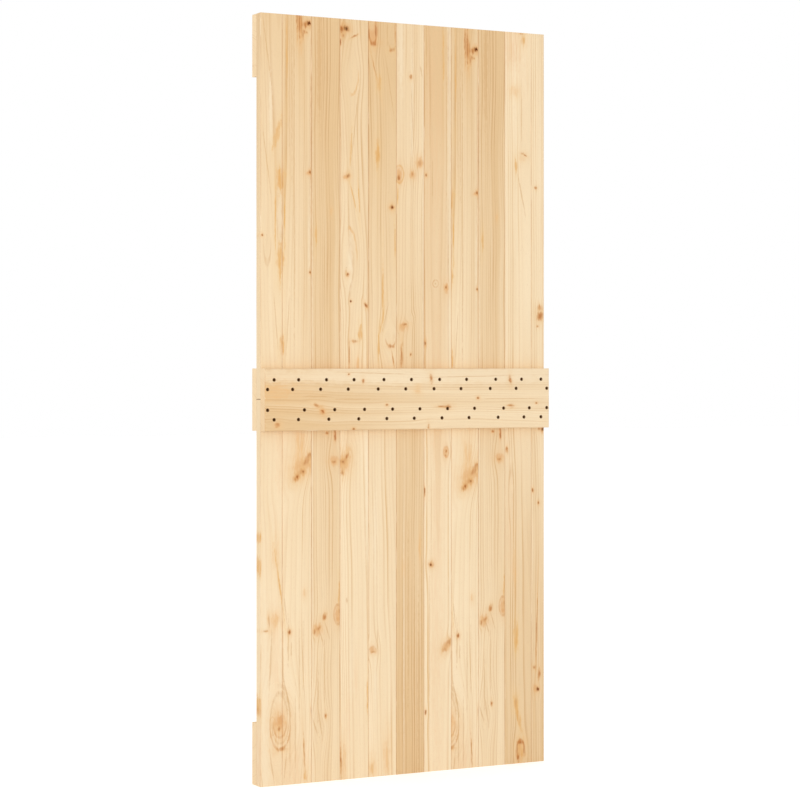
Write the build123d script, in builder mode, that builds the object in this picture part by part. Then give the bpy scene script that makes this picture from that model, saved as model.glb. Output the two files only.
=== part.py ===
"""A ledged door leaf for a sliding track: tongued-and-grooved pine boards screwed to full-width ledges.

Millimetres, +Z up. The front faces -Y, and the origin is the middle of the leaf's top edge, on the
plane where the boards meet the back ledges.
"""

import os
from itertools import pairwise
from math import floor

from build123d import *

os.makedirs("parts", exist_ok=True)

# The leaf
LEAF_WIDTH = 900.0
LEAF_HEIGHT = 2100.0

# The upright boards, from left to right: one ripped board, the full boards, and what is left over
BOARD_COVER = 88.0
BOARD_THICKNESS = 28.0
FIRST_BOARD_WIDTH = 65.0
LAST_BOARD_LEAST_WIDTH = 30.0
BOARD_ARRIS = 1.2

# The tongue and groove between two boards
JOINT_GAP = 0.3
TONGUE_LENGTH = 7.0
TONGUE_THICKNESS = 8.0
TONGUE_NOSE = 1.0
GROOVE_END_CLEARANCE = 1.0
GROOVE_SIDE_CLEARANCE = 0.2

# The ledges, as long as the leaf is wide
LEDGE_WIDTH = 170.0
LEDGE_THICKNESS = 28.0
LEDGE_ARRIS = 1.5

# The pockets of the sunk screw heads: four rows on each ledge, counted from its long edges
SCREW_POCKET_RADIUS = 4.2
SCREW_POCKET_DEPTH = 2.0
SCREW_POCKET_SIDES = 16
OUTER_ROW_INSET = 31.0
INNER_ROW_INSET = 57.0

# The screws of a full board: an upper and a lower pair, set sideways from the board's centre line
PAIR_STAGGER = 18.0
UPPER_PAIR_SHIFT = -18.5
LOWER_PAIR_SHIFT = 7.5

# How far each pair strays from its line, board by board; the run starts again where it ends
UPPER_PAIR_DRIFT = (1.5, -2.0, -5.5, -0.5, -2.0, 0.0, -1.0, 6.5, 4.0)
LOWER_PAIR_DRIFT = (-7.0, -3.0, 1.0, 0.5, -1.0, -0.5, -1.0, 6.5, 4.0)

# The screws of the first and last board, counted from the leaf's side
SIDE_OUTER_SCREW_INSET = 27.5
SIDE_INNER_SCREW_INSET = 8.0

# What follows from those sizes
GROOVE_DEPTH = TONGUE_LENGTH - JOINT_GAP + GROOVE_END_CLEARANCE
GROOVE_WIDTH = TONGUE_THICKNESS + 2 * GROOVE_SIDE_CLEARANCE
FULL_BOARDS = floor((LEAF_WIDTH - FIRST_BOARD_WIDTH - LAST_BOARD_LEAST_WIDTH) / BOARD_COVER)
FIRST_JOINT = -LEAF_WIDTH / 2 + FIRST_BOARD_WIDTH
JOINT_LINES = [FIRST_JOINT + BOARD_COVER * step for step in range(FULL_BOARDS + 1)]
BOARD_SPANS = list(pairwise([-LEAF_WIDTH / 2, *JOINT_LINES, LEAF_WIDTH / 2]))
LAST_BOARD = len(BOARD_SPANS) - 1


def save(builder, name):
    """Label a finished piece and write it to its own file."""
    builder.part.label = name
    export_step(builder.part, f"parts/{name}.step")


def make_board(number, left, right):
    """One upright board: a groove on its left and a tongue on its right, plain at the leaf's sides."""
    name = {0: "left_edge_board", LAST_BOARD: "right_edge_board"}.get(number, f"board_{number:02d}")
    has_groove = number > 0
    has_tongue = number < LAST_BOARD
    left_shoulder = left + JOINT_GAP / 2 if has_groove else left
    right_shoulder = right - JOINT_GAP / 2 if has_tongue else right
    middle_depth = -BOARD_THICKNESS / 2
    with BuildPart() as board:
        with BuildSketch(Plane.XY.offset(-LEAF_HEIGHT)) as section:
            with Locations(((left_shoulder + right_shoulder) / 2, middle_depth)):
                Rectangle(right_shoulder - left_shoulder, BOARD_THICKNESS)
            chamfer(section.vertices(), BOARD_ARRIS)
            if has_tongue:
                with Locations((right_shoulder, middle_depth)):
                    Rectangle(TONGUE_LENGTH, TONGUE_THICKNESS, align=(Align.MIN, Align.CENTER))
                chamfer(section.vertices().group_by(Axis.X)[-1], TONGUE_NOSE)
            if has_groove:
                with Locations((left_shoulder, middle_depth)):
                    Rectangle(
                        GROOVE_DEPTH,
                        GROOVE_WIDTH,
                        align=(Align.MIN, Align.CENTER),
                        mode=Mode.SUBTRACT,
                    )
        extrude(amount=LEAF_HEIGHT)
    save(board, name)


def screw_places():
    """Each screw's place on a ledge: across the leaf, and up from the ledge's centre line."""
    outer_row = LEDGE_WIDTH / 2 - OUTER_ROW_INSET
    inner_row = LEDGE_WIDTH / 2 - INNER_ROW_INSET
    rows = (outer_row, inner_row, -inner_row, -outer_row)
    places = []
    for number, (left, right) in enumerate(BOARD_SPANS):
        if number == 0:
            outer = left + SIDE_OUTER_SCREW_INSET
            inner = left + SIDE_INNER_SCREW_INSET
            across = (outer, inner, inner, outer)
        elif number == LAST_BOARD:
            outer = right - SIDE_OUTER_SCREW_INSET
            inner = right - SIDE_INNER_SCREW_INSET
            across = (outer, inner, inner, outer)
        else:
            middle = (left + right) / 2
            upper = middle + UPPER_PAIR_SHIFT + UPPER_PAIR_DRIFT[(number - 1) % len(UPPER_PAIR_DRIFT)]
            lower = middle + LOWER_PAIR_SHIFT + LOWER_PAIR_DRIFT[(number - 1) % len(LOWER_PAIR_DRIFT)]
            step = PAIR_STAGGER / 2
            across = (upper + step, upper - step, lower + step, lower - step)
        places.extend(zip(across, rows))
    return places


def make_ledge(name, seat):
    """One ledge on its seat against the boards: a plank with eased outer arrises and its screws' pockets."""
    with BuildPart(seat) as ledge:
        Box(LEAF_WIDTH, LEDGE_WIDTH, LEDGE_THICKNESS, align=(Align.CENTER, Align.CENTER, Align.MIN))
        outer_face = ledge.faces().sort_by(Axis(seat.origin, seat.z_dir))[-1]
        chamfer(outer_face.edges(), LEDGE_ARRIS)
        with BuildSketch(seat.offset(LEDGE_THICKNESS)):
            with Locations(*[(seat.x_dir.X * across, up) for across, up in screw_places()]):
                RegularPolygon(SCREW_POCKET_RADIUS, SCREW_POCKET_SIDES)
        extrude(amount=-SCREW_POCKET_DEPTH, mode=Mode.SUBTRACT)
    save(ledge, name)


def front_seat(height):
    """Where a front ledge meets the boards, looking out of the front."""
    return Plane(origin=(0, -BOARD_THICKNESS, height), x_dir=(1, 0, 0), z_dir=(0, -1, 0))


def back_seat(height):
    """Where a back ledge meets the boards, looking out of the back."""
    return Plane(origin=(0, 0, height), x_dir=(-1, 0, 0), z_dir=(0, 1, 0))


TOP_LEDGE_MIDDLE = -LEDGE_WIDTH / 2
MID_LEDGE_MIDDLE = -LEAF_HEIGHT / 2
BOTTOM_LEDGE_MIDDLE = -LEAF_HEIGHT + LEDGE_WIDTH / 2

for number, (left, right) in enumerate(BOARD_SPANS):
    make_board(number, left, right)

make_ledge("front_mid_ledge", front_seat(MID_LEDGE_MIDDLE))
make_ledge("back_mid_ledge", back_seat(MID_LEDGE_MIDDLE))
make_ledge("back_top_ledge", back_seat(TOP_LEDGE_MIDDLE))
make_ledge("back_bottom_ledge", back_seat(BOTTOM_LEDGE_MIDDLE))
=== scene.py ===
"""A ledged board door leaf in clear-finished pine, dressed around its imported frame.

Objects are in metres. The wood is worked out in millimetres from the leaf's left and top edges, first
across the grain and then along it. A board's grain runs down, so its mark at across=148, along=20 lies
148 mm from the left and 20 mm down. A ledge's grain lies level, so its marks give the way down first.
"""

import math
import random
from collections import namedtuple

import bmesh
import bpy
from mathutils import Matrix, Vector


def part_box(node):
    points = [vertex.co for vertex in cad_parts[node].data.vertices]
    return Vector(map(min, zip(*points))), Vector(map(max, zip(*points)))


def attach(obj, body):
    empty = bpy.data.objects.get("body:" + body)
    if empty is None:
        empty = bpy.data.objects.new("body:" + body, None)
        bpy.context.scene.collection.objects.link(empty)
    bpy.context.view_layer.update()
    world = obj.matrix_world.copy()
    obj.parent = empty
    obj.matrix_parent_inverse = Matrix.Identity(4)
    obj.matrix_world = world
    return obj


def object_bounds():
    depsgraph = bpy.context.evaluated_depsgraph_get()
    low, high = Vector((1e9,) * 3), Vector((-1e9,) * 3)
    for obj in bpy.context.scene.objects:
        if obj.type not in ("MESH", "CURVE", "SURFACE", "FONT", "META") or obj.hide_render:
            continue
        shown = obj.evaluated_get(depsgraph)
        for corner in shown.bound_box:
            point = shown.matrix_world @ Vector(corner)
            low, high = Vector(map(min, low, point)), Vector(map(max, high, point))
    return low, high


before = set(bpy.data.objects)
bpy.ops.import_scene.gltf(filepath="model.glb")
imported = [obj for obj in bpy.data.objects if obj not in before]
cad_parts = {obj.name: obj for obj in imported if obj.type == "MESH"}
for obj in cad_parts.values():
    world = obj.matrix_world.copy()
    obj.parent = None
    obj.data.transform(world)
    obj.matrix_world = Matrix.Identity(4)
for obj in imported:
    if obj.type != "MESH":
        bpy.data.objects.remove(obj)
CAD_LOW, CAD_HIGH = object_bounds()
MM_PER_M = 1000

# View of the leaf
CAMERA_PLACE = (-3.0873, -5.7739, -0.9632)
CAMERA_YAW = math.radians(28.08)
CAMERA_LENS_MM = 104.82
CAMERA_SENSOR_MM = 36.0
CAMERA_SHIFT_Y = -0.0403

# Stage and light
WHITE = (1.0, 1.0, 1.0, 1.0)
FLOOR_SIDE = 60.0
FLOOR_COLOUR = (0.92, 0.92, 0.92)
FLOOR_ROUGHNESS = 0.9
FLOOR_GLOW = 0.35
WORLD_LEVEL = 0.82
SOFTBOX_PLACE = (-4.6, -5.6, -0.9)
SOFTBOX_SIDE = 4.0
SOFTBOX_WATTS = 170.0

# Screw heads and their pockets
SAME_PLACE = 1e-5
POCKET_DEPTH = 0.002
POCKET_REACH = 0.010
HEAD_RADIUS = 0.0038
HEAD_RIM = 0.0006
HEAD_BELOW_FACE = 0.0008
HEAD_SIDES = 24
CROSS_ARM = 0.0024
CROSS_HALF_WIDTH = 0.0006
CROSS_DEPTH = 0.0009
CROSS_TAPER = 0.6
TURN_SEED = 7

# Steel of the screws
STEEL_PATCH_MM = 3
STEEL_PATCH_EDGE = (0.35, 0.65)
STEEL_GRIT_PER_MM = 4
STEEL_RUBBED_SLOPE = (0.95, 0.5)
STEEL_RUBBED_SHARE = 0.5
STEEL_ROUGHNESS = (0.38, 0.62)
STEEL_METALLIC = 0.3
STEEL_SPECULAR = 0.1
STEEL_BUMP_STRENGTH = 0.2
STEEL_BUMP_DEPTH = 0.0001

# Waves in the wood, in millimetres across the grain, into the wood and along the grain
WANDER_WAVE = (160, 160, 450)
RIPPLE_WAVE = (16, 16, 130)
CLEAR_WAVE = (40, 40, 260)
FIBRE_WAVE = (0.9, 0.9, 40)
FLECK_WAVE = (0.8, 0.8, 10)
RAGGED_WAVE = (9, 9, 22)
TORN_WAVE = (7, 9, 14)
STREAK_WAVE = (5, 5, 60)
GRIME_AND_SHADE_WAVE = (60, 30, 260)
WEAR_AND_HIGHLIGHT_WAVE = (12, 12, 90)

# Between which levels of its noise a thing fades in
SOFT_EDGE = (0.30, 0.70)
FLECK_EDGE = (0.64, 0.76)
WEAR_AND_HIGHLIGHT_EDGE = (0.55, 0.70)

# Growth rings; the pith's place is given at one distance along the grain, and drifts from there
PITH_GIVEN_AT_MM = 1050.0
SEED_STEP = 17.3
RIPPLE_REACH_MM = 3.0
UNEVEN_WAVE_MM = 24
UNEVEN_RINGS = 3.0
YEAR_POWER = 1.6
YEAR_SPREAD = 0.9
YEAR_LEAST = 0.1
LATE_RISE = (0.40, 0.92)
LATE_FALL = (1.0, 0.94)
CLEAR_SPREAD = 0.8
CLEAR_LEAST = 0.45
BAND_WAVE_MM = 20
BAND_LENGTH_MM = 900
BAND_SHIFT = 5.0
BAND_WARMTH = 1.1

# Marks, loops and painted shade round screws: their uneven edges, where their parts fade in, how they bow
# the grain
RAGGED_REACH = 2.2
TORN_REACH = 2.0
STREAK_SPREAD = 0.9
STREAK_LEAST = 0.45
HALO_FALL = -0.25
BODY_EDGE = (1.50, 0.40)
CORE_EDGE = (0.85, 0.20)
MARK_BOW_WIDE = 2.4
MARK_BOW_LONG = 4.0
MARK_REACH = 4
MARK_MARGIN_MM = 12
LOOP_LINE_MM = (3.0, 0.6)
LOOP_LOWER = (-0.4, 0.3)
LOOP_UPPER = (0.4, -0.3)
LOOP_RIGHT = (-0.5, 0.3)
LOOP_BOW_WIDE = 1.5
LOOP_BOW_LONG = 1.3
LOOP_UNEVEN = 0.1
LOOP_SHARE = 0.7
LOOP_BEND = 0.9
POCKET_SHADE_EDGE_MM = (5.7, 4.3)

# How much of each colour is laid over the wood, where its ends and arrises begin, and its finish
FIBRE_LEVELS = (0.94, 1.06)
FLECK_SHARE = 0.35
POCKET_SHADE_SHARE = 0.85
END_FACE = (0.80, 0.95)
END_GRAIN_SHARE = 0.65
END_RING_SHARE = 0.4
ARRIS = (0.97, 0.80)
GRIME_AND_SHADE_SPREAD = 0.30
GRIME_AND_SHADE_LEAST = 0.04
WEAR_AND_HIGHLIGHT_SHARE = 0.7
WOOD_ROUGHNESS = (0.74, 0.58)
FIBRE_GLOSS = 0.5
END_ROUGHNESS = 0.15
RING_HEIGHT = 0.6
FIBRE_HEIGHT = 0.4
WOOD_BUMP_STRENGTH = 0.25
WOOD_BUMP_DEPTH = 0.0004
WOOD_SPECULAR = 0.12


def srgb(red, green, blue):
    """A colour written in 0-255 screen values, as linear light with full cover."""
    def linear(value):
        value /= 255.0
        return value / 12.92 if value <= 0.04045 else ((value + 0.055) / 1.055) ** 2.4
    return (linear(red), linear(green), linear(blue), 1.0)


# Wood colours: pale sapwood and warm heartwood, each with its early and late growth
PALE_EARLY = srgb(250, 228, 192)
PALE_LATE = srgb(229, 191, 140)
WARM_EARLY = srgb(230, 196, 149)
WARM_LATE = srgb(204, 156, 104)
END_GRAIN = srgb(250, 220, 178)
# Pale wear together with painted highlights, laid on the arrises where the chamfers catch the light
WORN_AND_LIT_ARRIS = srgb(251, 231, 198)
# Grime together with painted shade, laid on the chamfered arrises to darken the V-grooves between boards
JOINT_GRIME_AND_SHADE = srgb(190, 128, 70)
FLECK = srgb(200, 152, 100)
# Painted shade, dark brown, laid in and round each screw pocket of a ledge
POCKET_SHADE = srgb(92, 56, 22)

# Steel colours
STEEL_DARK = srgb(64, 37, 10)
STEEL_BROWN = srgb(84, 50, 16)
STEEL_RUBBED = srgb(100, 66, 28)

# How each kind of stain is coloured, from its soft surround to its middle, how far it bends the grain
# aside, and whether it runs in streaks
Stain = namedtuple("Stain", "halo halo_share body body_share core core_share bend streaky")
NO_COLOUR = srgb(255, 255, 255)
STAINS = {
    "knot": Stain(srgb(224, 164, 96), 0.70, srgb(150, 82, 26), 0.95, srgb(62, 24, 2), 1.0, 0.9, False),
    "peg": Stain(srgb(234, 188, 128), 0.50, srgb(176, 106, 50), 0.85, srgb(90, 42, 10), 0.9, 0.8, False),
    "pin": Stain(srgb(234, 182, 118), 0.50, srgb(198, 130, 70), 0.70, srgb(150, 84, 34), 0.7, 0.8, False),
    "resin": Stain(srgb(232, 180, 118), 0.45, srgb(198, 128, 68), 0.75, srgb(164, 90, 38), 0.6, 0.2, True),
    "smear": Stain(srgb(234, 192, 136), 0.45, srgb(212, 154, 98), 0.65, srgb(188, 122, 68), 0.5, 0.6, True),
    "amber": Stain(srgb(238, 202, 146), 0.40, srgb(226, 172, 104), 0.70, NO_COLOUR, 0.0, 0.1, True),
    "blush": Stain(srgb(234, 190, 138), 0.40, srgb(224, 168, 112), 0.65, NO_COLOUR, 0.0, 0.3, False),
    "glow": Stain(srgb(238, 196, 142), 0.40, srgb(232, 182, 122), 0.35, NO_COLOUR, 0.0, 0.0, True),
    "line": Stain(NO_COLOUR, 0.0, srgb(212, 166, 112), 0.45, NO_COLOUR, 0.0, 0.0, False),
    "rose": Stain(srgb(238, 196, 150), 0.10, srgb(236, 192, 146), 0.15, NO_COLOUR, 0.0, 0.0, True),
    "scar": Stain(srgb(234, 192, 136), 0.40, srgb(206, 146, 92), 0.75, srgb(176, 108, 58), 0.5, 0.0, False),
    "dark_dash": Stain(NO_COLOUR, 0.0, srgb(112, 66, 30), 0.80, NO_COLOUR, 0.0, 0.0, False),
    "pale": Stain(srgb(249, 230, 198), 0.25, srgb(249, 230, 198), 0.40, NO_COLOUR, 0.0, 0.0, False),
    "bend": Stain(NO_COLOUR, 0.0, NO_COLOUR, 0.0, NO_COLOUR, 0.0, 1.0, False),
}

# A mark is an oval: its place, its half width across the grain and half length along it, and its slant
Mark = namedtuple("Mark", "stain across along half_width half_length slant", defaults=(0.0,))

# A loop is one growth ring cut into an oval, of which all, a half or a quarter shows
Loop = namedtuple("Loop", "stain across along half_width half_length part", defaults=("all",))

# How a piece was cut from its log: the pith's place across and behind the face, how it drifts along the
# piece, its growth rings, how much they sway and how strong their lines are; then its warmth at the start,
# middle and end, how far the plank is moved across and along the leaf, and its marks and loops
Timber = namedtuple(
    "Timber", "seed pith_across pith_depth drift rise ring sway lines warmth offset marks loops",
    defaults=((0, 0), (), ()))

# The two boards at the left were sawn from one plank, and their figure runs on over the joint
LEFT_PLANK = Timber(
    2, 60, 55, 0.004, 0.008, 5.0, 16, 0.70, (0.84, 0.33, 0.10),
    marks=(
        Mark("pale", 57, 555, 7, 80),
        Mark("pale", 30, 270, 5, 90),
        Mark("pale", 35, 1440, 5, 45),
        Mark("rose", 57, 1210, 10, 80),
        Mark("pale", 146, 620, 2.5, 100),
        Mark("line", 101, 480, 2, 420),
        Mark("line", 83, 1710, 2.5, 60),
        Mark("rose", 110, 2055, 42, 60),
        Mark("pale", 14, 1890, 11, 240),
        Mark("rose", 47, 1740, 14, 120),
        Mark("rose", 0, 2020, 2, 90),
        Mark("rose", 0, 2010, 2, 80),
        Mark("line", 19, 100, 1.8, 95, 0.14),
        Mark("line", 18, 400, 1.8, 85, 0.14),
        Mark("amber", 49, 330, 7, 38, -0.28),
        Mark("amber", 60, 449, 12, 32),
        Mark("amber", 44, 560, 2, 85),
        Mark("amber", 72, 555, 2, 85),
        Mark("amber", 60, 668, 10, 36),
        Mark("amber", 58, 705, 3, 36),
        Mark("amber", 64, 903, 7, 27),
        Mark("line", 46, 840, 1.5, 80, 0.08),
        Mark("line", 82, 840, 1.5, 80, -0.06),
        Mark("pin", 5, 603, 2.5, 3.5),
        Mark("glow", 43, 1475, 8, 32),
        Mark("amber", 55, 1545, 2.5, 80, 0.16),
        Mark("smear", 25, 1652, 2.5, 15),
        Mark("glow", 47, 1651, 12, 16),
        Mark("smear", 14, 1678, 9, 3),
        Mark("line", 30, 1760, 2.5, 80, -0.05),
        Mark("line", 67, 1775, 1.8, 95),
        Mark("line", 78, 1850, 1.8, 50, 0.25),
        Mark("line", 88, 1985, 1.8, 85),
        Mark("line", 34, 2050, 2, 45, 0.15),
        Mark("line", 74, 2050, 2, 40, -0.10),
        Mark("glow", 58, 1950, 19, 38),
        Mark("blush", 56, 1928, 13, 19),
        Mark("blush", 56, 1926, 9, 14),
        Mark("smear", 56, 1946, 4, 6),
        Mark("smear", 61, 2001, 13, 4.5),
        # A short dark line across the leaf's left side face, at the middle of the ledge's height
        Mark("dark_dash", 0, 1049, 1.5, 1.2),
        Mark("amber", 0, 1425, 2, 12),
        Mark("amber", 0, 1502, 2, 22),
        Mark("amber", 0, 1880, 2, 26),
        Mark("smear", 1, 1895, 1.2, 12),
        Mark("amber", 79, 90, 2, 110),
        Mark("line", 75, 90, 1.3, 120),
        Mark("line", 86, 200, 1.5, 200),
        Mark("line", 94, 240, 1.8, 200),
        Mark("resin", 110, 2, 3, 46),
        Mark("resin", 117, 18, 3.5, 46),
        Mark("resin", 123, 24, 2, 28),
        Mark("resin", 127, 50, 2.5, 13),
        Mark("resin", 133, 24, 9, 9),
        Mark("knot", 146, 20, 6.5, 6.5),
        Mark("smear", 132, 44, 4, 6),
        Mark("smear", 139, 46, 3, 4),
        Mark("resin", 152, 345, 0.8, 190),
        Mark("blush", 144, 431, 6, 4),
        Mark("pin", 149, 427, 4, 5),
        Mark("pin", 149, 702, 3, 4),
        Mark("glow", 120, 1168, 12, 34),
        Mark("glow", 116, 1232, 18, 24),
        Mark("blush", 130, 1232, 24, 22, -0.7),
        Mark("smear", 143, 1208, 9, 12, -0.5),
        Mark("smear", 137, 1221, 8, 9, -0.5),
        Mark("smear", 126, 1248, 12, 9, -0.6),
        Mark("pin", 128, 1247, 4, 4),
        Mark("smear", 109, 1263, 9, 11, -0.4),
        Mark("pin", 110, 1261, 4.5, 4.5),
        Mark("glow", 133, 1578, 4, 10),
        Mark("pin", 87, 1685, 4.5, 6),
        Mark("line", 92, 1732, 2, 22),
        Mark("line", 75, 1625, 1.5, 40, 0.12),
        Mark("line", 116, 1800, 1.5, 120),
        Mark("line", 128, 1760, 1.5, 90),
        Mark("line", 104, 1960, 1.5, 110),
        Mark("pin", 153, 1905, 2, 12),
        Mark("smear", 131, 2022, 2, 55, 0.05),
        Mark("amber", 136, 2078, 5, 14),
    ),
    loops=(
        Loop("line", 20, 620, 11, 60, "lower"),
        Loop("smear", 59, 1936, 31, 66, "lower"),
        Loop("line", 58, 1925, 30, 98, "upper_right"),
        Loop("line", 57, 1925, 24, 72, "upper_right"),
        Loop("line", 59, 1930, 30, 84, "upper"),
        Loop("line", 59, 1940, 24, 46, "lower"),
        Loop("smear", 58, 1936, 19, 34, "lower"),
    ),
)

# Two straight-grained brown boards sawn alike
BROWN_PLANK = Timber(
    3, -60, 80, 0.003, 0.000, 6.5, 30, 0.75, (1.20, 0.74, 0.26),
    marks=(
        # A painted highlight: a pale line along this board's left arris at the joint, where the chamfer
        # catches the light
        Mark("pale", 156, 1330, 2, 800),
        Mark("line", 177, 110, 6, 160),
        Mark("glow", 213, 533, 3, 10),
        Mark("amber", 167, 598, 3, 26),
        Mark("smear", 200, 1143, 5, 4),
        Mark("resin", 226, 1150, 3, 20),
        Mark("blush", 223, 1219, 14, 12),
        Mark("smear", 222, 1222, 8, 4),
        Mark("amber", 238, 1590, 3, 40),
        Mark("smear", 193, 1648, 6.5, 9, -0.3),
        Mark("blush", 172, 1682, 13, 14),
        Mark("smear", 175, 1679, 6, 6, -0.4),
        Mark("smear", 163, 1688, 4, 9),
        Mark("blush", 234, 1642, 8, 20),
        Mark("smear", 240, 1636, 4, 12),
        Mark("blush", 235, 1657, 7, 6),
        Mark("line", 184, 1705, 2, 20, 0.3),
        Mark("line", 201, 1685, 2, 20, 0.3),
        Mark("line", 173, 1865, 2, 75),
        Mark("line", 193, 1800, 1.5, 90),
        Mark("line", 163, 1945, 2.5, 22, 0.35),
        Mark("line", 180, 1940, 2, 40, 0.15),
        Mark("smear", 197, 1920, 4.5, 7),
        Mark("bend", 178, 1945, 12, 30),
    ),
    loops=(
        Loop("smear", 234, 1643, 12, 27),
    ),
)

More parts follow.
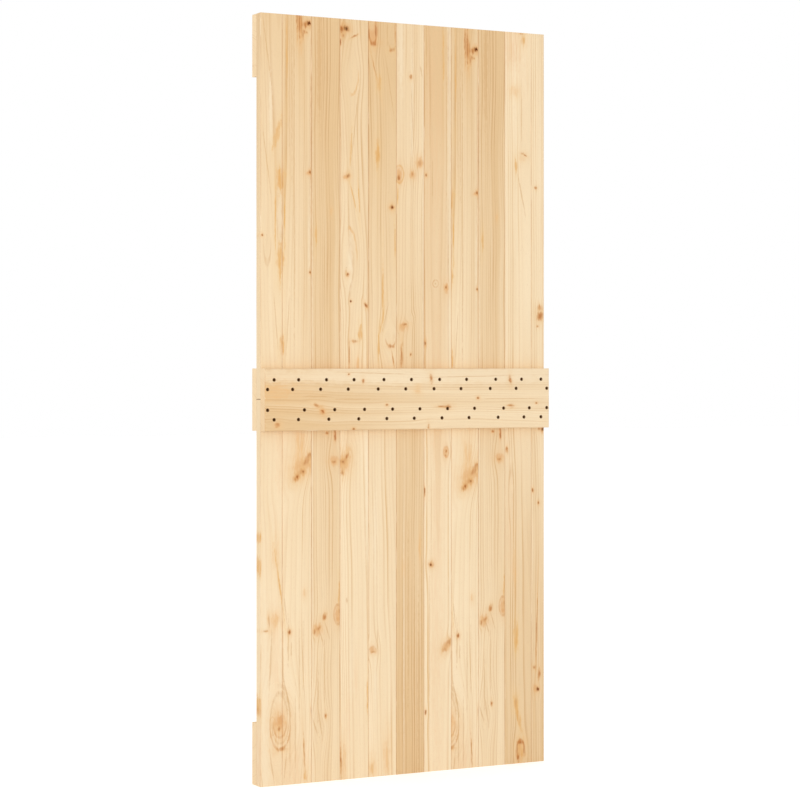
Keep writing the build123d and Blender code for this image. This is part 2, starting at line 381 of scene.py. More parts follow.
TIMBERS = {
    "left_edge_board": LEFT_PLANK._replace(warmth=(0.76, 0.34, 0.10)),
    "board_01": LEFT_PLANK,
    "board_02": BROWN_PLANK,
    "board_03": Timber(
        4, 340, 60, 0.006, 0.005, 5.0, 20, 0.75, (0.82, 0.08, 0.06),
        marks=(
            Mark("knot", 259, 26, 8, 7),
            Mark("resin", 246, 28, 6, 11),
            Mark("smear", 250, 46, 4, 5),
            Mark("resin", 242, 64, 2.5, 10),
            Mark("scar", 285, 46, 5, 6, -1.4),
            Mark("line", 287, 290, 1.8, 105, -0.11),
            Mark("amber", 275, 350, 2, 45, -0.05),
            Mark("blush", 257, 437, 7, 5),
            Mark("pin", 265, 433, 5.5, 6),
            Mark("amber", 283, 495, 2, 36, 0.26),
            Mark("amber", 299, 490, 1.5, 42, 0.06),
            Mark("pale", 273, 670, 7, 75),
            Mark("pale", 277, 1790, 4.5, 90),
            Mark("pale", 322, 1300, 4, 180),
            Mark("glow", 253, 2055, 6, 45),
            Mark("pin", 265, 706, 5, 5.5),
            Mark("peg", 274, 779, 3, 3.5),
            Mark("pin", 321, 789, 4.5, 7, 0.4),
            Mark("amber", 304, 870, 6, 22),
            Mark("smear", 286, 890, 8, 4),
            Mark("resin", 269, 925, 1.2, 36),
            Mark("glow", 297, 950, 4, 16),
            Mark("glow", 258, 1222, 12, 26),
            Mark("blush", 252, 1225, 15, 20, -0.3),
            Mark("smear", 252, 1222, 10, 10, -0.5),
            Mark("pin", 251, 1223, 4, 5),
            Mark("smear", 248, 1252, 4, 11),
            Mark("smear", 262, 1207, 5, 11, -0.3),
            Mark("line", 262, 1605, 3, 8),
            Mark("rose", 290, 1820, 5, 60),
            Mark("amber", 326, 1870, 2.5, 45),
            Mark("rose", 266, 1945, 7, 75),
            Mark("smear", 244, 2048, 3, 46, 0.04),
        ),
        loops=(
            Loop("amber", 276, 150, 22, 58, "lower_right"),
            Loop("amber", 268, 660, 25, 83, "upper_right"),
        ),
    ),
    "board_04": Timber(
        5, 430, 50, 0.010, 0.006, 6.0, 22, 0.80, (1.04, 0.42, 0.04),
        marks=(
            Mark("resin", 331, 34, 2.5, 24),
            Mark("resin", 352, 26, 3.5, 28),
            Mark("resin", 345, 62, 11, 7),
            Mark("blush", 342, 40, 8, 20),
            Mark("smear", 403, 76, 8, 6, -0.5),
            Mark("line", 388, 25, 2, 35),
            Mark("smear", 413, 30, 2, 30),
            Mark("smear", 349, 135, 1.8, 42, 0.26),
            Mark("amber", 362, 170, 5.5, 20),
            Mark("line", 396, 180, 1.5, 75, 0.16),
            Mark("amber", 358, 365, 6, 36),
            Mark("blush", 404, 516, 7, 8),
            Mark("peg", 404, 515, 4.5, 6),
            Mark("amber", 412, 615, 2, 40),
            Mark("amber", 374, 740, 2.5, 80),
            Mark("amber", 371, 835, 2.5, 35, -0.2),
            Mark("line", 383, 820, 1.5, 40, -0.25),
            Mark("bend", 398, 880, 13, 20),
            Mark("resin", 400, 903, 9, 5),
            Mark("amber", 361, 900, 2.5, 36),
            Mark("smear", 406, 940, 1.6, 24, 0.18),
            Mark("pale", 350, 1430, 6, 120),
            Mark("pale", 351, 1840, 3.5, 60),
            Mark("blush", 341, 1746, 10, 9),
            Mark("smear", 342, 1753, 8, 3.5),
            Mark("line", 357, 1715, 1.8, 28),
            Mark("glow", 340, 2074, 9, 20),
            Mark("amber", 339, 2078, 4, 14),
            Mark("glow", 386, 2045, 8, 45),
        ),
        loops=(
            Loop("resin", 343, 20, 14, 42, "lower"),
            Loop("line", 404, 48, 14, 28, "lower"),
            Loop("smear", 399, 884, 16, 19, "lower"),
        ),
    ),
    "board_05": Timber(
        6, 380, 70, 0.004, 0.003, 5.5, 22, 0.70, (0.54, 0.68, 1.00),
        marks=(
            Mark("pale", 431, 60, 8, 120),
            Mark("pale", 467, 230, 3.5, 150),
            Mark("pale", 502, 480, 1.5, 470),
            Mark("pale", 440, 1750, 1.8, 280),
            Mark("smear", 462, 148, 5, 6),
            Mark("line", 467, 250, 1.5, 85, 0.05),
            Mark("line", 495, 128, 2, 16, 0.2),
            Mark("blush", 491, 388, 10, 14),
            Mark("smear", 490, 389, 6, 8),
            Mark("blush", 468, 421, 8, 10),
            Mark("smear", 468, 420, 4.5, 6),
            Mark("blush", 427, 422, 9, 17),
            Mark("resin", 424, 432, 4, 8),
            Mark("amber", 421, 482, 2, 22),
            Mark("blush", 437, 849, 12, 11),
            Mark("smear", 442, 842, 8, 4, -0.8),
            Mark("smear", 433, 932, 4.5, 34),
            Mark("pin", 462, 926, 2, 3.5),
            Mark("glow", 491, 1470, 3, 30),
            Mark("glow", 439, 1522, 3, 18),
            Mark("line", 437, 1850, 2, 230),
            Mark("line", 454, 1650, 2.5, 240),
            Mark("line", 474, 1780, 2, 240),
            Mark("line", 487, 1850, 3, 230),
            Mark("line", 497, 1700, 2, 230),
        ),
        loops=(
            Loop("amber", 426, 422, 14, 24),
        ),
    ),
    "board_06": Timber(
        7, 547, 45, 0.003, 0.003, 5.0, 14, 1.30, (1.16, 0.14, 0.00),
        marks=(
            Mark("pale", 586, 200, 4.5, 420),
            Mark("pale", 587, 1350, 2.5, 780),
            Mark("rose", 535, 250, 32, 330),
            Mark("rose", 546, 1500, 17, 600),
            Mark("amber", 567, 80, 2.5, 85),
            Mark("line", 513, 60, 2, 90),
            Mark("line", 524, 230, 1.5, 160),
            Mark("line", 577, 300, 1.5, 200),
            Mark("pin", 512, 421, 3, 4.5),
            Mark("line", 532, 440, 1.5, 60),
            Mark("line", 541, 726, 2, 2.5),
            Mark("blush", 577, 738, 7, 13),
            Mark("pin", 575, 736, 3, 4.5),
            Mark("pin", 508, 894, 3.5, 7),
            Mark("blush", 576, 1201, 7, 13),
            Mark("smear", 576, 1199, 3.5, 6),
            Mark("smear", 573, 1212, 3.5, 4),
            Mark("pin", 507, 1312, 2, 12),
            Mark("line", 528, 1370, 1.2, 110),
            Mark("blush", 528, 1517, 8, 8),
            Mark("peg", 526, 1518, 4, 5),
            Mark("line", 523, 1720, 1.2, 190),
            Mark("blush", 577, 1749, 11, 15, -0.5),
            Mark("smear", 582, 1741, 8, 11, -0.5),
            Mark("smear", 571, 1758, 7, 9),
            Mark("pin", 509, 1932, 3.5, 7),
        ),
        loops=(
            Loop("smear", 542, 726, 9, 10),
            Loop("blush", 576, 1201, 8, 14),
        ),
    ),
    "board_07": LEFT_PLANK._replace(offset=(528, 38), warmth=(0.84, 0.18, 0.08)),
    "board_08": BROWN_PLANK._replace(offset=(528, 2), warmth=(1.10, 0.62, 0.18)),
    "board_09": Timber(
        10, 850, 45, 0.002, 0.004, 5.0, 20, 1.00, (-0.02, 0.18, 0.84),
        marks=(
            Mark("rose", 796, 25, 36, 75),
            Mark("rose", 800, 35, 34, 65),
            Mark("smear", 823, 3, 9, 3),
            Mark("amber", 828, 22, 6, 14),
            Mark("line", 824, 240, 1.8, 80),
            Mark("glow", 800, 168, 12, 12),
            Mark("smear", 828, 347, 6, 4),
            Mark("scar", 836, 352, 4, 3, 1.0),
            Mark("glow", 826, 362, 9, 8),
            Mark("amber", 806, 385, 4, 20),
            Mark("line", 820, 450, 1.5, 35, 0.2),
            Mark("line", 828, 480, 1.5, 50, 0.2),
            Mark("smear", 775, 1198, 4, 9),
            Mark("rose", 788, 1400, 9, 150),
            Mark("line", 797, 1390, 1.8, 110),
            Mark("glow", 801, 1540, 4, 50),
            Mark("amber", 806, 1718, 7, 26),
            Mark("amber", 806, 1752, 5.5, 22),
            Mark("amber", 807, 1735, 3, 26),
            Mark("amber", 806, 1926, 7, 20),
            Mark("smear", 805, 1926, 3, 14),
            Mark("amber", 814, 1968, 6, 40, 0.25),
            Mark("amber", 820, 2066, 10, 26),
            Mark("resin", 821, 2040, 10, 6),
            Mark("smear", 809, 2064, 3.5, 20),
            Mark("smear", 833, 2060, 3.5, 18),
            Mark("resin", 813, 2084, 4, 14),
        ),
        loops=(
            Loop("resin", 821, 2074, 15, 40, "upper"),
            Loop("line", 790, 1330, 9, 75, "upper"),
        ),
    ),
    "right_edge_board": Timber(
        11, 740, 60, 0.004, 0.000, 6.0, 16, 0.70, (0.32, 0.18, 0.86),
        marks=(
            Mark("smear", 872, 444, 4, 4),
            Mark("smear", 886, 790, 8, 8),
            Mark("scar", 886, 814, 10, 13),
            Mark("scar", 886, 815, 8, 10),
            Mark("smear", 878, 843, 3, 3.5),
            Mark("knot", 895, 1140, 4, 6),
            Mark("smear", 884, 1138, 6, 5),
            Mark("pin", 862, 1316, 3, 5.5),
            Mark("pin", 880, 1353, 3.5, 4),
            Mark("resin", 875, 1720, 1.4, 95, -0.03),
            Mark("smear", 867, 1827, 6, 6),
            Mark("smear", 884, 1848, 4.5, 16, -0.1),
            Mark("blush", 870, 1888, 6, 12),
            Mark("peg", 879, 1891, 5, 6),
        ),
    ),
    "front_mid_ledge": Timber(
        12, 1240, 60, 0.016, 0.000, 6.0, 24, 0.60, (1.00, 0.45, 0.30),
        marks=(
            Mark("pale", 984, 450, 20, 700),
            Mark("line", 1042, 157, 1.8, 40),
            Mark("line", 1050, 272, 1.5, 60),
            Mark("line", 1051, 772, 1.2, 120),
            Mark("line", 978, 330, 1.5, 120, 0.03),
            Mark("line", 988, 620, 1.5, 140, -0.02),
            Mark("pin", 981, 254, 2.5, 3),
            Mark("scar", 999, 298, 7, 4),
            Mark("smear", 1065, 154, 5, 8, 0.3),
            Mark("blush", 1081, 173, 12, 8, 0.3),
            Mark("resin", 1084, 174, 6, 5, 0.5),
            Mark("pin", 1066, 372, 3, 3.5),
            Mark("scar", 994, 512, 11, 5, 0.6),
            Mark("scar", 998, 770, 12, 5, 0.6),
            Mark("glow", 1030, 20, 22, 60),
            Mark("glow", 1025, 470, 9, 8),
            Mark("pin", 1048, 664, 3.5, 4),
            Mark("resin", 1072, 565, 5, 10),
            Mark("smear", 1072, 547, 3, 14),
            Mark("smear", 1072, 771, 5, 12),
            Mark("pin", 1064, 857, 2.5, 3),
            Mark("blush", 1118, 38, 6, 8),
            Mark("smear", 1118, 38, 6, 7),
            Mark("pin", 1131, 268, 3.5, 4),
            Mark("smear", 1127, 504, 8, 3),
        ),
    ),
    "back_mid_ledge": Timber(
        13, 1180, 75, 0.012, 0.004, 6.5, 20, 0.80, (0.25, 0.35, 0.45),
        marks=(
            Mark("pin", 1010, 210, 6, 8),
            Mark("smear", 1078, 520, 8, 16),
            Mark("knot", 1100, 745, 7, 9),
        ),
    ),
    "back_top_ledge": Timber(
        14, 190, 85, -0.014, 0.006, 6.5, 20, 0.80, (0.30, 0.15, 0.35),
        marks=(
            Mark("pin", 60, 330, 7, 9),
            Mark("smear", 110, 690, 9, 18),
            Mark("pin", 150, 90, 4, 6),
            Mark("line", 140, 0, 2.5, 1.5),
        ),
    ),
    "back_bottom_ledge": Timber(
        15, 1900, 70, 0.010, -0.006, 6.5, 20, 0.80, (0.40, 0.20, 0.15),
        marks=(
            Mark("knot", 1990, 620, 7, 9),
            Mark("smear", 2050, 260, 9, 20),
            Mark("pin", 2070, 810, 4, 6),
        ),
    ),
}


class Wire:
    """An output of a node, so that a formula over nodes reads as plain arithmetic."""

    def __init__(self, tree, socket):
        self.tree = tree
        self.socket = socket

    def __add__(self, other):
        return maths("ADD", self, other)

    def __sub__(self, other):
        return maths("SUBTRACT", self, other)

    def __rsub__(self, other):
        return maths("SUBTRACT", other, self)

    def __mul__(self, other):
        return maths("MULTIPLY", self, other)

    def __truediv__(self, other):
        return maths("DIVIDE", self, other)


def feed(socket, value):
    """Joins a socket to a wire, or sets it to a plain value."""
    if isinstance(value, Wire):
        value.tree.links.new(value.socket, socket)
    else:
        socket.default_value = value


def add_node(tree, kind, inputs=None, **settings):
    """A new node with its settings made and its inputs fed."""
    node = tree.nodes.new(kind)
    for name, value in settings.items():
        setattr(node, name, value)
    for name, value in (inputs or {}).items():
        feed(node.inputs[name], value)
    return node


def maths(operation, *values):
    """One step of arithmetic on wires and plain numbers."""
    tree = next(value.tree for value in values if isinstance(value, Wire))
    node = add_node(tree, "ShaderNodeMath", dict(enumerate(values)), operation=operation)
    return Wire(tree, node.outputs[0])


def smooth(value, start, end):
    """0 at start, 1 at end, with an eased slope between them."""
    inputs = {"Value": value, "From Min": start, "From Max": end}
    node = add_node(value.tree, "ShaderNodeMapRange", inputs, interpolation_type="SMOOTHSTEP")
    return Wire(value.tree, node.outputs["Result"])


def between(value, low, high):
    """A value from 0 to 1, spread evenly from low to high."""
    inputs = {"Value": value, "To Min": low, "To Max": high}
    node = add_node(value.tree, "ShaderNodeMapRange", inputs)
    return Wire(value.tree, node.outputs["Result"])


# The sockets of a mix node for colours, among those it has for other kinds of value
MIX_SHARE = 0
MIX_UNDER = 6
MIX_OVER = 7
MIX_RESULT = 2


def mix(share, under, over, blend_type="MIX"):
    """One colour laid over another."""
    tree = next(value.tree for value in (share, under, over) if isinstance(value, Wire))
    inputs = {MIX_SHARE: share, MIX_UNDER: under, MIX_OVER: over}
    node = add_node(tree, "ShaderNodeMix", inputs, data_type="RGBA", blend_type=blend_type)
    return Wire(tree, node.outputs[MIX_RESULT])


def noise(x, y, z, detail=1.0):
    """Soft random values about a half, one wave to each unit of the given place."""
    tree = next(value.tree for value in (x, y, z) if isinstance(value, Wire))
    place = add_node(tree, "ShaderNodeCombineXYZ", {"X": x, "Y": y, "Z": z})
    node = add_node(tree, "ShaderNodeTexNoise", {"Scale": 1.0, "Detail": detail})
    tree.links.new(place.outputs[0], node.inputs["Vector"])
    return Wire(tree, node.outputs[0])


def grain_noise(place, wave, depth_shift=0.0, along_shift=0.0, detail=1.0):
    """Noise with the given wave in the wood, moved into it or along it by a number of waves."""
    across, depth, along = (wire / length for wire, length in zip(place, wave))
    return noise(across, depth + depth_shift, along + along_shift, detail)


def swing(value, reach):
    """Noise about zero instead of a half, stretched to a reach."""
    return (value - 0.5) * reach


def split_axes(tree, kind, output):
    """The X, Y and Z of a place or direction that a new node gives."""
    split = add_node(tree, "ShaderNodeSeparateXYZ")
    tree.links.new(tree.nodes.new(kind).outputs[output], split.inputs[0])
    return [Wire(tree, split.outputs[axis]) for axis in "XYZ"]


def new_group(name, inputs, outputs):
    """An empty node group, its inputs as wires and its output node."""
    tree = bpy.data.node_groups.new(name, "ShaderNodeTree")
    for label in inputs:
        tree.interface.new_socket(name=label, in_out="INPUT", socket_type="NodeSocketFloat")
    for label in outputs:
        tree.interface.new_socket(name=label, in_out="OUTPUT", socket_type="NodeSocketFloat")
    entry = tree.nodes.new("NodeGroupInput")
    leave = tree.nodes.new("NodeGroupOutput")
    return tree, [Wire(tree, entry.outputs[label]) for label in inputs], leave


def use_group(tree, group, **values):
    """A node that runs a group on the given values, as its outputs by name."""
    node = add_node(tree, "ShaderNodeGroup", values, node_tree=group)
    return {socket.name: Wire(tree, socket) for socket in node.outputs}


def make_figure_group():
    """Growth rings about a slanting pith, cut by the piece's own faces, with its bands and fibres."""
    labels = [
        "across", "along", "depth", "seed", "pith_across", "pith_depth", "drift", "rise", "ring", "sway",
        "lines"]
    tree, wires, leave = new_group("pine_figure", labels, ["late", "band", "fibre", "fleck"])
    across, along, depth, seed, pith_across, pith_depth, drift, rise, ring, sway, lines = wires
    place = (across, depth, along)
    shift = seed * SEED_STEP
    wander = swing(grain_noise(place, WANDER_WAVE, shift), sway)
    ripple = swing(grain_noise(place, RIPPLE_WAVE, shift, detail=2.0), RIPPLE_REACH_MM)
    far = along - PITH_GIVEN_AT_MM
    side = across + wander + ripple - pith_across - drift * far
    back = depth - pith_depth - rise * far
    radius = maths("SQRT", side * side + back * back)
    uneven = swing(noise(radius / UNEVEN_WAVE_MM, shift, 0.0, detail=2.0), UNEVEN_RINGS)
    count = radius / ring + uneven
    year = add_node(tree, "ShaderNodeTexWhiteNoise", noise_dimensions="1D")
    feed(year.inputs["W"], maths("FLOOR", count) + shift)
    strength = maths("POWER", Wire(tree, year.outputs["Value"]), YEAR_POWER) * YEAR_SPREAD + YEAR_LEAST
    part = maths("FRACT", count)
    clear = smooth(grain_noise(place, CLEAR_WAVE, shift * -1.0), *SOFT_EDGE) * CLEAR_SPREAD + CLEAR_LEAST
    outputs = {
        "late": smooth(part, *LATE_RISE) * smooth(part, *LATE_FALL) * strength * clear * lines,
        "band": noise(radius / BAND_WAVE_MM, shift + BAND_SHIFT, along / BAND_LENGTH_MM, detail=2.0),
        "fibre": grain_noise(place, FIBRE_WAVE, detail=3.0),
        "fleck": smooth(grain_noise(place, FLECK_WAVE), *FLECK_EDGE),
    }
    for label, wire in outputs.items():
        feed(leave.inputs[label], wire)
    return tree


OVAL_LABELS = [
    "across", "along", "ragged", "torn", "centre_across", "centre_along", "half_width", "half_length",
    "slant"]


def oval_place(wires):
    """Where a point lies about an oval with an uneven edge: aside and down from its middle, how far down
    it as a share of its half length, and the square of its reach, which is 1 on the edge."""
    across, along, ragged, torn, centre_across, centre_along, half_width, half_length, slant = wires
    down = along - centre_along
    aside = across - centre_across - slant * down
    wide = aside / half_width + ragged
    long = down / half_length + torn
    square = wide * wide + long * long
    return aside, down, long, square


def grain_push(aside, down, wide_scale, long_scale):
    """How far the grain is drawn towards a mark's middle, so that its lines bow round the mark."""
    bow_wide = aside / wide_scale
    bow_long = down / long_scale
    return aside * maths("EXPONENT", (bow_wide * bow_wide + bow_long * bow_long) * -1.0) * -1.0


def make_mark_group():
    """One oval mark: how much of its halo, body and core lies here, and its push on the grain."""
    tree, wires, leave = new_group("wood_mark", OVAL_LABELS, ["halo", "body", "core", "push"])
    *_, half_width, half_length, _ = wires
    aside, down, _, square = oval_place(wires)
    reach = maths("SQRT", square)
    bow_long = half_width * MARK_BOW_LONG + half_length
    outputs = {
        "halo": maths("EXPONENT", square * HALO_FALL),
        "body": smooth(reach, *BODY_EDGE),
        "core": smooth(reach, *CORE_EDGE),
        "push": grain_push(aside, down, half_width * MARK_BOW_WIDE, bow_long),
    }
    for label, wire in outputs.items():
        feed(leave.inputs[label], wire)
    return tree


def make_loop_group():
    """One ring cut into an oval: its line, whole or in part, and its push on the grain."""
    parts = ["all", "lower", "upper", "lower_right", "upper_right"]
    tree, wires, leave = new_group("wood_loop", OVAL_LABELS, parts + ["push"])
    *_, half_width, half_length, _ = wires
    aside, down, long, square = oval_place(wires)
    off_line = maths("ABSOLUTE", maths("SQRT", square) - 1.0) * half_width
    line = smooth(off_line, *LOOP_LINE_MM)
    lower = line * smooth(long, *LOOP_LOWER)
    upper = line * smooth(long, *LOOP_UPPER)
    right = smooth(aside / half_width, *LOOP_RIGHT)
    outputs = {
        "all": line,
        "lower": lower,
        "upper": upper,
        "lower_right": lower * right,
        "upper_right": upper * right,
        "push": grain_push(aside, down, half_width * LOOP_BOW_WIDE, half_length * LOOP_BOW_LONG),
    }
    for label, wire in outputs.items():
        feed(leave.inputs[label], wire)
    return tree


def make_pocket_shade_group():
    """Painted shade darkening the wood in and round one screw's pocket."""
    tree, wires, leave = new_group("screw_pocket_shade", ["left", "down", "screw_left", "screw_down"], ["share"])
    left, down, screw_left, screw_down = wires
    aside = left - screw_left
    below = down - screw_down
    reach = maths("SQRT", aside * aside + below * below)
    feed(leave.inputs["share"], smooth(reach, *POCKET_SHADE_EDGE_MM))
    return tree


def near(mark, low, high):
    """Whether a mark's soft surround can reach a piece that spans low to high across the grain."""
    lean = abs(mark.slant) * mark.half_length if isinstance(mark, Mark) else 0
    spread = mark.half_width * MARK_REACH + lean + MARK_MARGIN_MM
    return low - spread < mark.across < high + spread


def stain_wood(tree, timber, place, edges, groups):
    """The covers and colours of a piece's marks and loops, and the grain's place across, bowed by them."""
    across, _, along = place
    ragged = swing(grain_noise(place, RAGGED_WAVE, timber.seed, detail=4.0), RAGGED_REACH)
    torn = swing(grain_noise(place, TORN_WAVE, -timber.seed, detail=4.0), TORN_REACH)
    streak = smooth(grain_noise(place, STREAK_WAVE, timber.seed, detail=2.0), *SOFT_EDGE)
    streak = streak * STREAK_SPREAD + STREAK_LEAST
    stains = []
    grain_across = across
    for mark in timber.marks:
        if not near(mark, *edges):
            continue
        shares = use_group(
            tree, groups["mark"], across=across, along=along, ragged=ragged, torn=torn,
            centre_across=mark.across, centre_along=mark.along, half_width=mark.half_width,
            half_length=mark.half_length, slant=mark.slant)
        stain = STAINS[mark.stain]
        for layer in ("halo", "body", "core"):
            share = getattr(stain, layer + "_share")
            if share:
                cover = shares[layer] * streak if stain.streaky else shares[layer]
                stains.append((cover * share, getattr(stain, layer)))
        if stain.bend:
            grain_across = grain_across + shares["push"] * stain.bend
    for loop in timber.loops:
        if not near(loop, *edges):
            continue
        shares = use_group(
            tree, groups["loop"], across=across, along=along, ragged=ragged * LOOP_UNEVEN,
            torn=torn * LOOP_UNEVEN, centre_across=loop.across, centre_along=loop.along,
            half_width=loop.half_width, half_length=loop.half_length, slant=0.0)
        stain = STAINS[loop.stain]
        stains.append((shares[loop.part] * streak * (stain.body_share * LOOP_SHARE), stain.body))
        grain_across = grain_across + shares["push"] * LOOP_BEND
    return stains, grain_across


def pine(name, timber, lies_level, groups):
    """Clear-finished pine for one piece; a ledge's grain lies level and a board's runs down."""
    material = bpy.data.materials.new("pine_" + name)
    material.use_nodes = True
    tree = material.node_tree
    tree.nodes.clear()
    x, y, z = split_axes(tree, "ShaderNodeTexCoord", "Object")
    from_left = (x - CAD_LOW.x) * MM_PER_M
    from_top = (z - CAD_HIGH.z) * -MM_PER_M
    depth = y * MM_PER_M
    low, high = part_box(name)
    if lies_level:
        across, along = from_top, from_left
        span = (CAD_HIGH.x - CAD_LOW.x) * MM_PER_M
        edges = [(CAD_HIGH.z - height) * MM_PER_M for height in (high.z, low.z)]
        pockets = pocket_places(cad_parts[name])
    else:
        across, along = from_left, from_top
        span = (CAD_HIGH.z - CAD_LOW.z) * MM_PER_M
        edges = [(side - CAD_LOW.x) * MM_PER_M for side in (low.x, high.x)]
        pockets = []
    across = across - timber.offset[0]
    along = along - timber.offset[1]
    edges = [edge - timber.offset[0] for edge in edges]
    place = (across, depth, along)
    stains, grain_across = stain_wood(tree, timber, place, edges, groups)
    figure = use_group(
        tree, groups["figure"], across=grain_across, along=along, depth=depth, seed=timber.seed,
        pith_across=timber.pith_across, pith_depth=timber.pith_depth, drift=timber.drift,
        rise=timber.rise, ring=timber.ring, sway=timber.sway, lines=timber.lines)

    start, middle, end = timber.warmth
    first_half = maths("MINIMUM", along / (span / 2), 1.0)
    second_half = maths("MAXIMUM", along / (span / 2) - 1.0, 0.0)
    warmth = first_half * (middle - start) + second_half * (end - middle) + start
    warmth = warmth + swing(figure["band"], BAND_WARMTH)
    early = mix(warmth, PALE_EARLY, WARM_EARLY)
    late = mix(warmth, PALE_LATE, WARM_LATE)
    colour = mix(figure["late"], early, late)
    colour = mix(1.0, colour, between(figure["fibre"], *FIBRE_LEVELS), "MULTIPLY")
    colour = mix(figure["fleck"] * FLECK_SHARE, colour, FLECK)
    for cover, stain_colour in stains:
        colour = mix(cover, colour, stain_colour)
    # Painted shade darkens the wood in each screw pocket and in a ring round it
    for pocket in pockets:
        pocket_shade = use_group(
            tree, groups["pocket_shade"], left=from_left, down=from_top,
            screw_left=(pocket.x - CAD_LOW.x) * MM_PER_M, screw_down=(CAD_HIGH.z - pocket.z) * MM_PER_M)
        colour = mix(pocket_shade["share"] * POCKET_SHADE_SHARE, colour, POCKET_SHADE)

    facing = [maths("ABSOLUTE", wire) for wire in split_axes(tree, "ShaderNodeNewGeometry", "True Normal")]
    end_face = smooth(facing[0] if lies_level else facing[2], *END_FACE)
    arris = smooth(maths("MAXIMUM", maths("MAXIMUM", facing[0], facing[1]), facing[2]), *ARRIS)
    colour = mix(end_face * (END_GRAIN_SHARE - figure["late"] * END_RING_SHARE), colour, END_GRAIN)
    grime_and_shade = smooth(grain_noise(place, GRIME_AND_SHADE_WAVE, along_shift=timber.seed, detail=2.0), *SOFT_EDGE)
    wear_and_highlight = smooth(grain_noise(place, WEAR_AND_HIGHLIGHT_WAVE, along_shift=-timber.seed, detail=3.0), *WEAR_AND_HIGHLIGHT_EDGE)
    # Grime and painted shade darken the arrises, deepening the V-grooves between boards
    colour = mix(arris * (grime_and_shade * GRIME_AND_SHADE_SPREAD + GRIME_AND_SHADE_LEAST), colour, JOINT_GRIME_AND_SHADE)
    # Pale wear and painted highlights lighten the arrises in patches
    colour = mix(arris * wear_and_highlight * WEAR_AND_HIGHLIGHT_SHARE, colour, WORN_AND_LIT_ARRIS)

    gloss = figure["late"] + figure["fibre"] * FIBRE_GLOSS
    roughness = between(gloss, *WOOD_ROUGHNESS) + end_face * END_ROUGHNESS
    bump = add_node(tree, "ShaderNodeBump", {
        "Height": figure["late"] * RING_HEIGHT + figure["fibre"] * FIBRE_HEIGHT,
        "Strength": WOOD_BUMP_STRENGTH, "Distance": WOOD_BUMP_DEPTH})
    shader = add_node(tree, "ShaderNodeBsdfPrincipled", {
        "Base Color": colour, "Roughness": roughness, "Specular IOR Level": WOOD_SPECULAR})
    tree.links.new(bump.outputs["Normal"], shader.inputs["Normal"])
    output = tree.nodes.new("ShaderNodeOutputMaterial")
    tree.links.new(shader.outputs[0], output.inputs["Surface"])
    return material


def burnished_steel():
    """Dark browned screws, with their rubbed rims and recesses a shade lighter."""
    material = bpy.data.materials.new("screw_steel")
    material.use_nodes = True
    tree = material.node_tree
    shader = tree.nodes["Principled BSDF"]
    place = [wire * MM_PER_M for wire in split_axes(tree, "ShaderNodeTexCoord", "Object")]
    patch = noise(*(wire / STEEL_PATCH_MM for wire in place), detail=3.0)
    grit = noise(*(wire * STEEL_GRIT_PER_MM for wire in place), detail=2.0)
    _, outward, _ = split_axes(tree, "ShaderNodeNewGeometry", "True Normal")
    slope = smooth(maths("ABSOLUTE", outward), *STEEL_RUBBED_SLOPE)
    colour = mix(smooth(patch, *STEEL_PATCH_EDGE), STEEL_DARK, STEEL_BROWN)
    colour = mix(slope * grit * STEEL_RUBBED_SHARE, colour, STEEL_RUBBED)
    feed(shader.inputs["Base Color"], colour)
    feed(shader.inputs["Roughness"], between(grit, *STEEL_ROUGHNESS))
    shader.inputs["Metallic"].default_value = STEEL_METALLIC
    shader.inputs["Specular IOR Level"].default_value = STEEL_SPECULAR
    bump = add_node(tree, "ShaderNodeBump", {
        "Height": grit, "Strength": STEEL_BUMP_STRENGTH, "Distance": STEEL_BUMP_DEPTH})
    tree.links.new(bump.outputs["Normal"], shader.inputs["Normal"])
    return material


def is_ledge(name):
    return name.endswith("ledge")


def faces_front(ledge):
    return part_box(ledge.name)[0].y < CAD_LOW.y + SAME_PLACE


def pocket_places(ledge):
    """Centres of a ledge's screw pockets, from the corners round each pocket's floor."""
    low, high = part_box(ledge.name)
    floor_y = low.y + POCKET_DEPTH if faces_front(ledge) else high.y - POCKET_DEPTH
    pockets = []
    for vertex in ledge.data.vertices:
        if abs(vertex.co.y - floor_y) > SAME_PLACE:
            continue
        for corners in pockets:
            if (corners[0] - vertex.co).length < POCKET_REACH:
                corners.append(vertex.co.copy())
                break
        else:
            pockets.append([vertex.co.copy()])
    return [
        Vector([(min(c[axis] for c in corners) + max(c[axis] for c in corners)) / 2 for axis in range(3)])
        for corners in pockets
    ]


def cross_outline(arm, half_width):
    """The twelve corners of a cross, in order round it."""
    outline = []
    for quarter in range(4):
        turn = Matrix.Rotation(quarter * math.pi / 2, 2)
        for corner in ((half_width, half_width), (arm, half_width), (arm, -half_width)):
            outline.append(turn @ Vector(corner))
    return outline


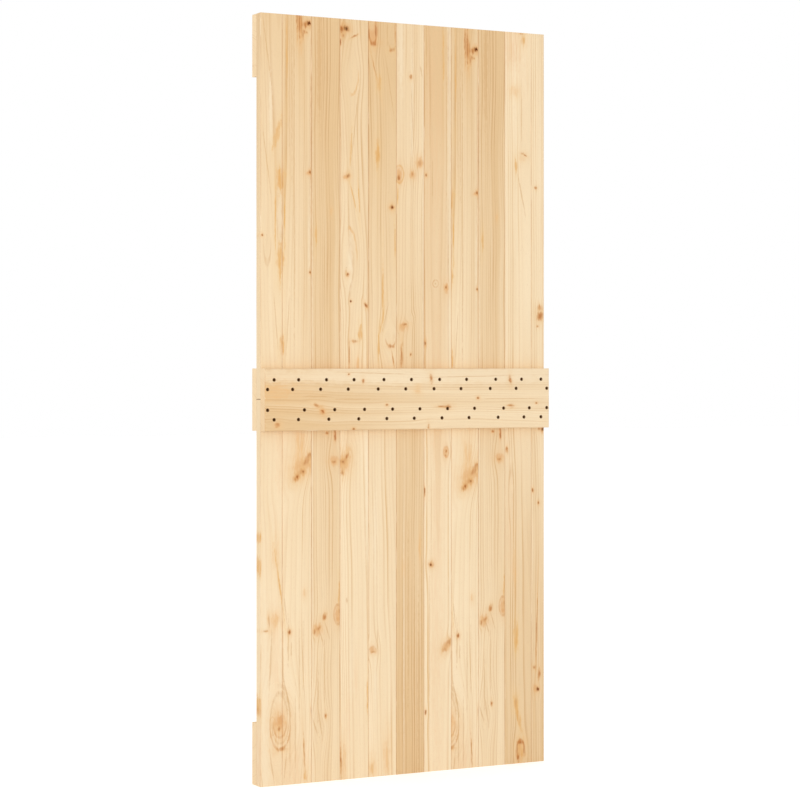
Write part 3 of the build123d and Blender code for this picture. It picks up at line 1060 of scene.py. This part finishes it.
def screw_head(height):
    """A sunk screw head with a cross recess, its axis along +Z and its foot at zero."""
    head = bmesh.new()

    def ring(points, z):
        return [head.verts.new((point[0], point[1], z)) for point in points]

    def circle(radius):
        steps = (2 * math.pi * step / HEAD_SIDES for step in range(HEAD_SIDES))
        return [(radius * math.cos(angle), radius * math.sin(angle)) for angle in steps]

    def wall(lower, upper):
        for here in range(len(lower)):
            there = (here + 1) % len(lower)
            head.faces.new((lower[here], lower[there], upper[there], upper[here]))

    foot = ring(circle(HEAD_RADIUS), 0.0)
    shoulder = ring(circle(HEAD_RADIUS), height - HEAD_RIM)
    rim = ring(circle(HEAD_RADIUS - HEAD_RIM), height)
    lip = ring(cross_outline(CROSS_ARM, CROSS_HALF_WIDTH), height)
    pit = ring(cross_outline(CROSS_ARM * CROSS_TAPER, CROSS_HALF_WIDTH * CROSS_TAPER), height - CROSS_DEPTH)
    head.faces.new(list(reversed(foot)))
    wall(foot, shoulder)
    wall(shoulder, rim)
    edges = [head.edges.get((rim[i], rim[(i + 1) % len(rim)])) for i in range(len(rim))]
    edges += [head.edges.new((lip[i], lip[(i + 1) % len(lip)])) for i in range(len(lip))]
    bmesh.ops.triangle_fill(head, edges=edges, use_beauty=True, normal=(0, 0, 1))
    wall(list(reversed(lip)), list(reversed(pit)))
    head.faces.new(pit)
    bmesh.ops.recalc_face_normals(head, faces=head.faces)
    return head


def add_screws(ledge, material, rng):
    """One joined piece with a screw head seated in each pocket of a ledge."""
    upright = Matrix.Rotation(math.pi / 2 if faces_front(ledge) else -math.pi / 2, 4, "X")
    head = screw_head(POCKET_DEPTH - HEAD_BELOW_FACE)
    head_mesh = bpy.data.meshes.new("screw_head")
    head.to_mesh(head_mesh)
    head.free()
    joined = bmesh.new()
    for place in pocket_places(ledge):
        turn = Matrix.Rotation(rng.uniform(0, math.pi / 2), 4, "Z")
        copy = head_mesh.copy()
        copy.transform(Matrix.Translation(place) @ upright @ turn)
        joined.from_mesh(copy)
        bpy.data.meshes.remove(copy)
    bpy.data.meshes.remove(head_mesh)
    mesh = bpy.data.meshes.new(ledge.name + "_screws")
    joined.to_mesh(mesh)
    joined.free()
    mesh.materials.append(material)
    screws = bpy.data.objects.new(mesh.name, mesh)
    bpy.context.scene.collection.objects.link(screws)
    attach(screws, "root")


def dress_timber():
    """Gives each piece of the frame its own pine."""
    groups = {
        "figure": make_figure_group(),
        "mark": make_mark_group(),
        "loop": make_loop_group(),
        "pocket_shade": make_pocket_shade_group(),
    }
    for name, timber in TIMBERS.items():
        material = pine(name, timber, is_ledge(name), groups)
        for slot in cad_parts[name].material_slots:
            slot.material = material


def fit_screws():
    """Puts a screw in each pocket of the four ledges, each turned at random."""
    material = burnished_steel()
    rng = random.Random(TURN_SEED)
    for name in TIMBERS:
        if is_ledge(name):
            add_screws(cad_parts[name], material, rng)


def seen_rays(tree):
    """1 where the camera, a gloss or a clear surface looks, and 0 for the light on the object."""
    path = tree.nodes.new("ShaderNodeLightPath")
    labels = ("Is Camera Ray", "Is Glossy Ray", "Is Transmission Ray")
    rays = [Wire(tree, path.outputs[label]) for label in labels]
    return maths("MAXIMUM", maths("MAXIMUM", rays[0], rays[1]), rays[2])


def make_stage():
    """A white floor that keeps a soft shadow, under a white world."""
    world = bpy.data.worlds.new("white_studio")
    bpy.context.scene.world = world
    world.use_nodes = True
    background = world.node_tree.nodes["Background"]
    background.inputs["Color"].default_value = WHITE
    feed(background.inputs["Strength"], seen_rays(world.node_tree) * (1.0 - WORLD_LEVEL) + WORLD_LEVEL)

    mesh = bpy.data.meshes.new("studio_floor")
    half = FLOOR_SIDE / 2
    corners = [(x, y, CAD_LOW.z) for x, y in ((-half, -half), (half, -half), (half, half), (-half, half))]
    mesh.from_pydata(corners, [], [(0, 1, 2, 3)])
    floor = bpy.data.objects.new("studio_floor", mesh)
    bpy.context.scene.collection.objects.link(floor)
    material = bpy.data.materials.new("floor_white")
    material.use_nodes = True
    tree = material.node_tree
    shader = tree.nodes["Principled BSDF"]
    shader.inputs["Base Color"].default_value = (*FLOOR_COLOUR, 1.0)
    shader.inputs["Roughness"].default_value = FLOOR_ROUGHNESS
    shader.inputs["Emission Color"].default_value = WHITE
    feed(shader.inputs["Emission Strength"], seen_rays(tree) * FLOOR_GLOW)
    mesh.materials.append(material)


def make_light():
    """One broad softbox in front of the leaf and to its left."""
    light = bpy.data.lights.new("softbox", "AREA")
    light.size = SOFTBOX_SIDE
    light.energy = SOFTBOX_WATTS
    lamp = bpy.data.objects.new("softbox", light)
    bpy.context.scene.collection.objects.link(lamp)
    lamp.location = SOFTBOX_PLACE
    middle = (CAD_LOW + CAD_HIGH) / 2
    lamp.rotation_euler = (middle - lamp.location).to_track_quat("-Z", "Y").to_euler()


def make_camera():
    """The photo's view: level, turned to the right and shifted down a little."""
    camera = bpy.data.cameras.new("camera")
    camera.lens = CAMERA_LENS_MM
    camera.sensor_width = CAMERA_SENSOR_MM
    camera.shift_y = CAMERA_SHIFT_Y
    stand = bpy.data.objects.new("camera", camera)
    bpy.context.scene.collection.objects.link(stand)
    stand.location = CAMERA_PLACE
    stand.rotation_euler = (math.pi / 2, 0.0, -CAMERA_YAW)
    bpy.context.scene.camera = stand


dress_timber()
fit_screws()
make_stage()
make_light()
make_camera()
bpy.context.scene.view_settings.view_transform = "Standard"
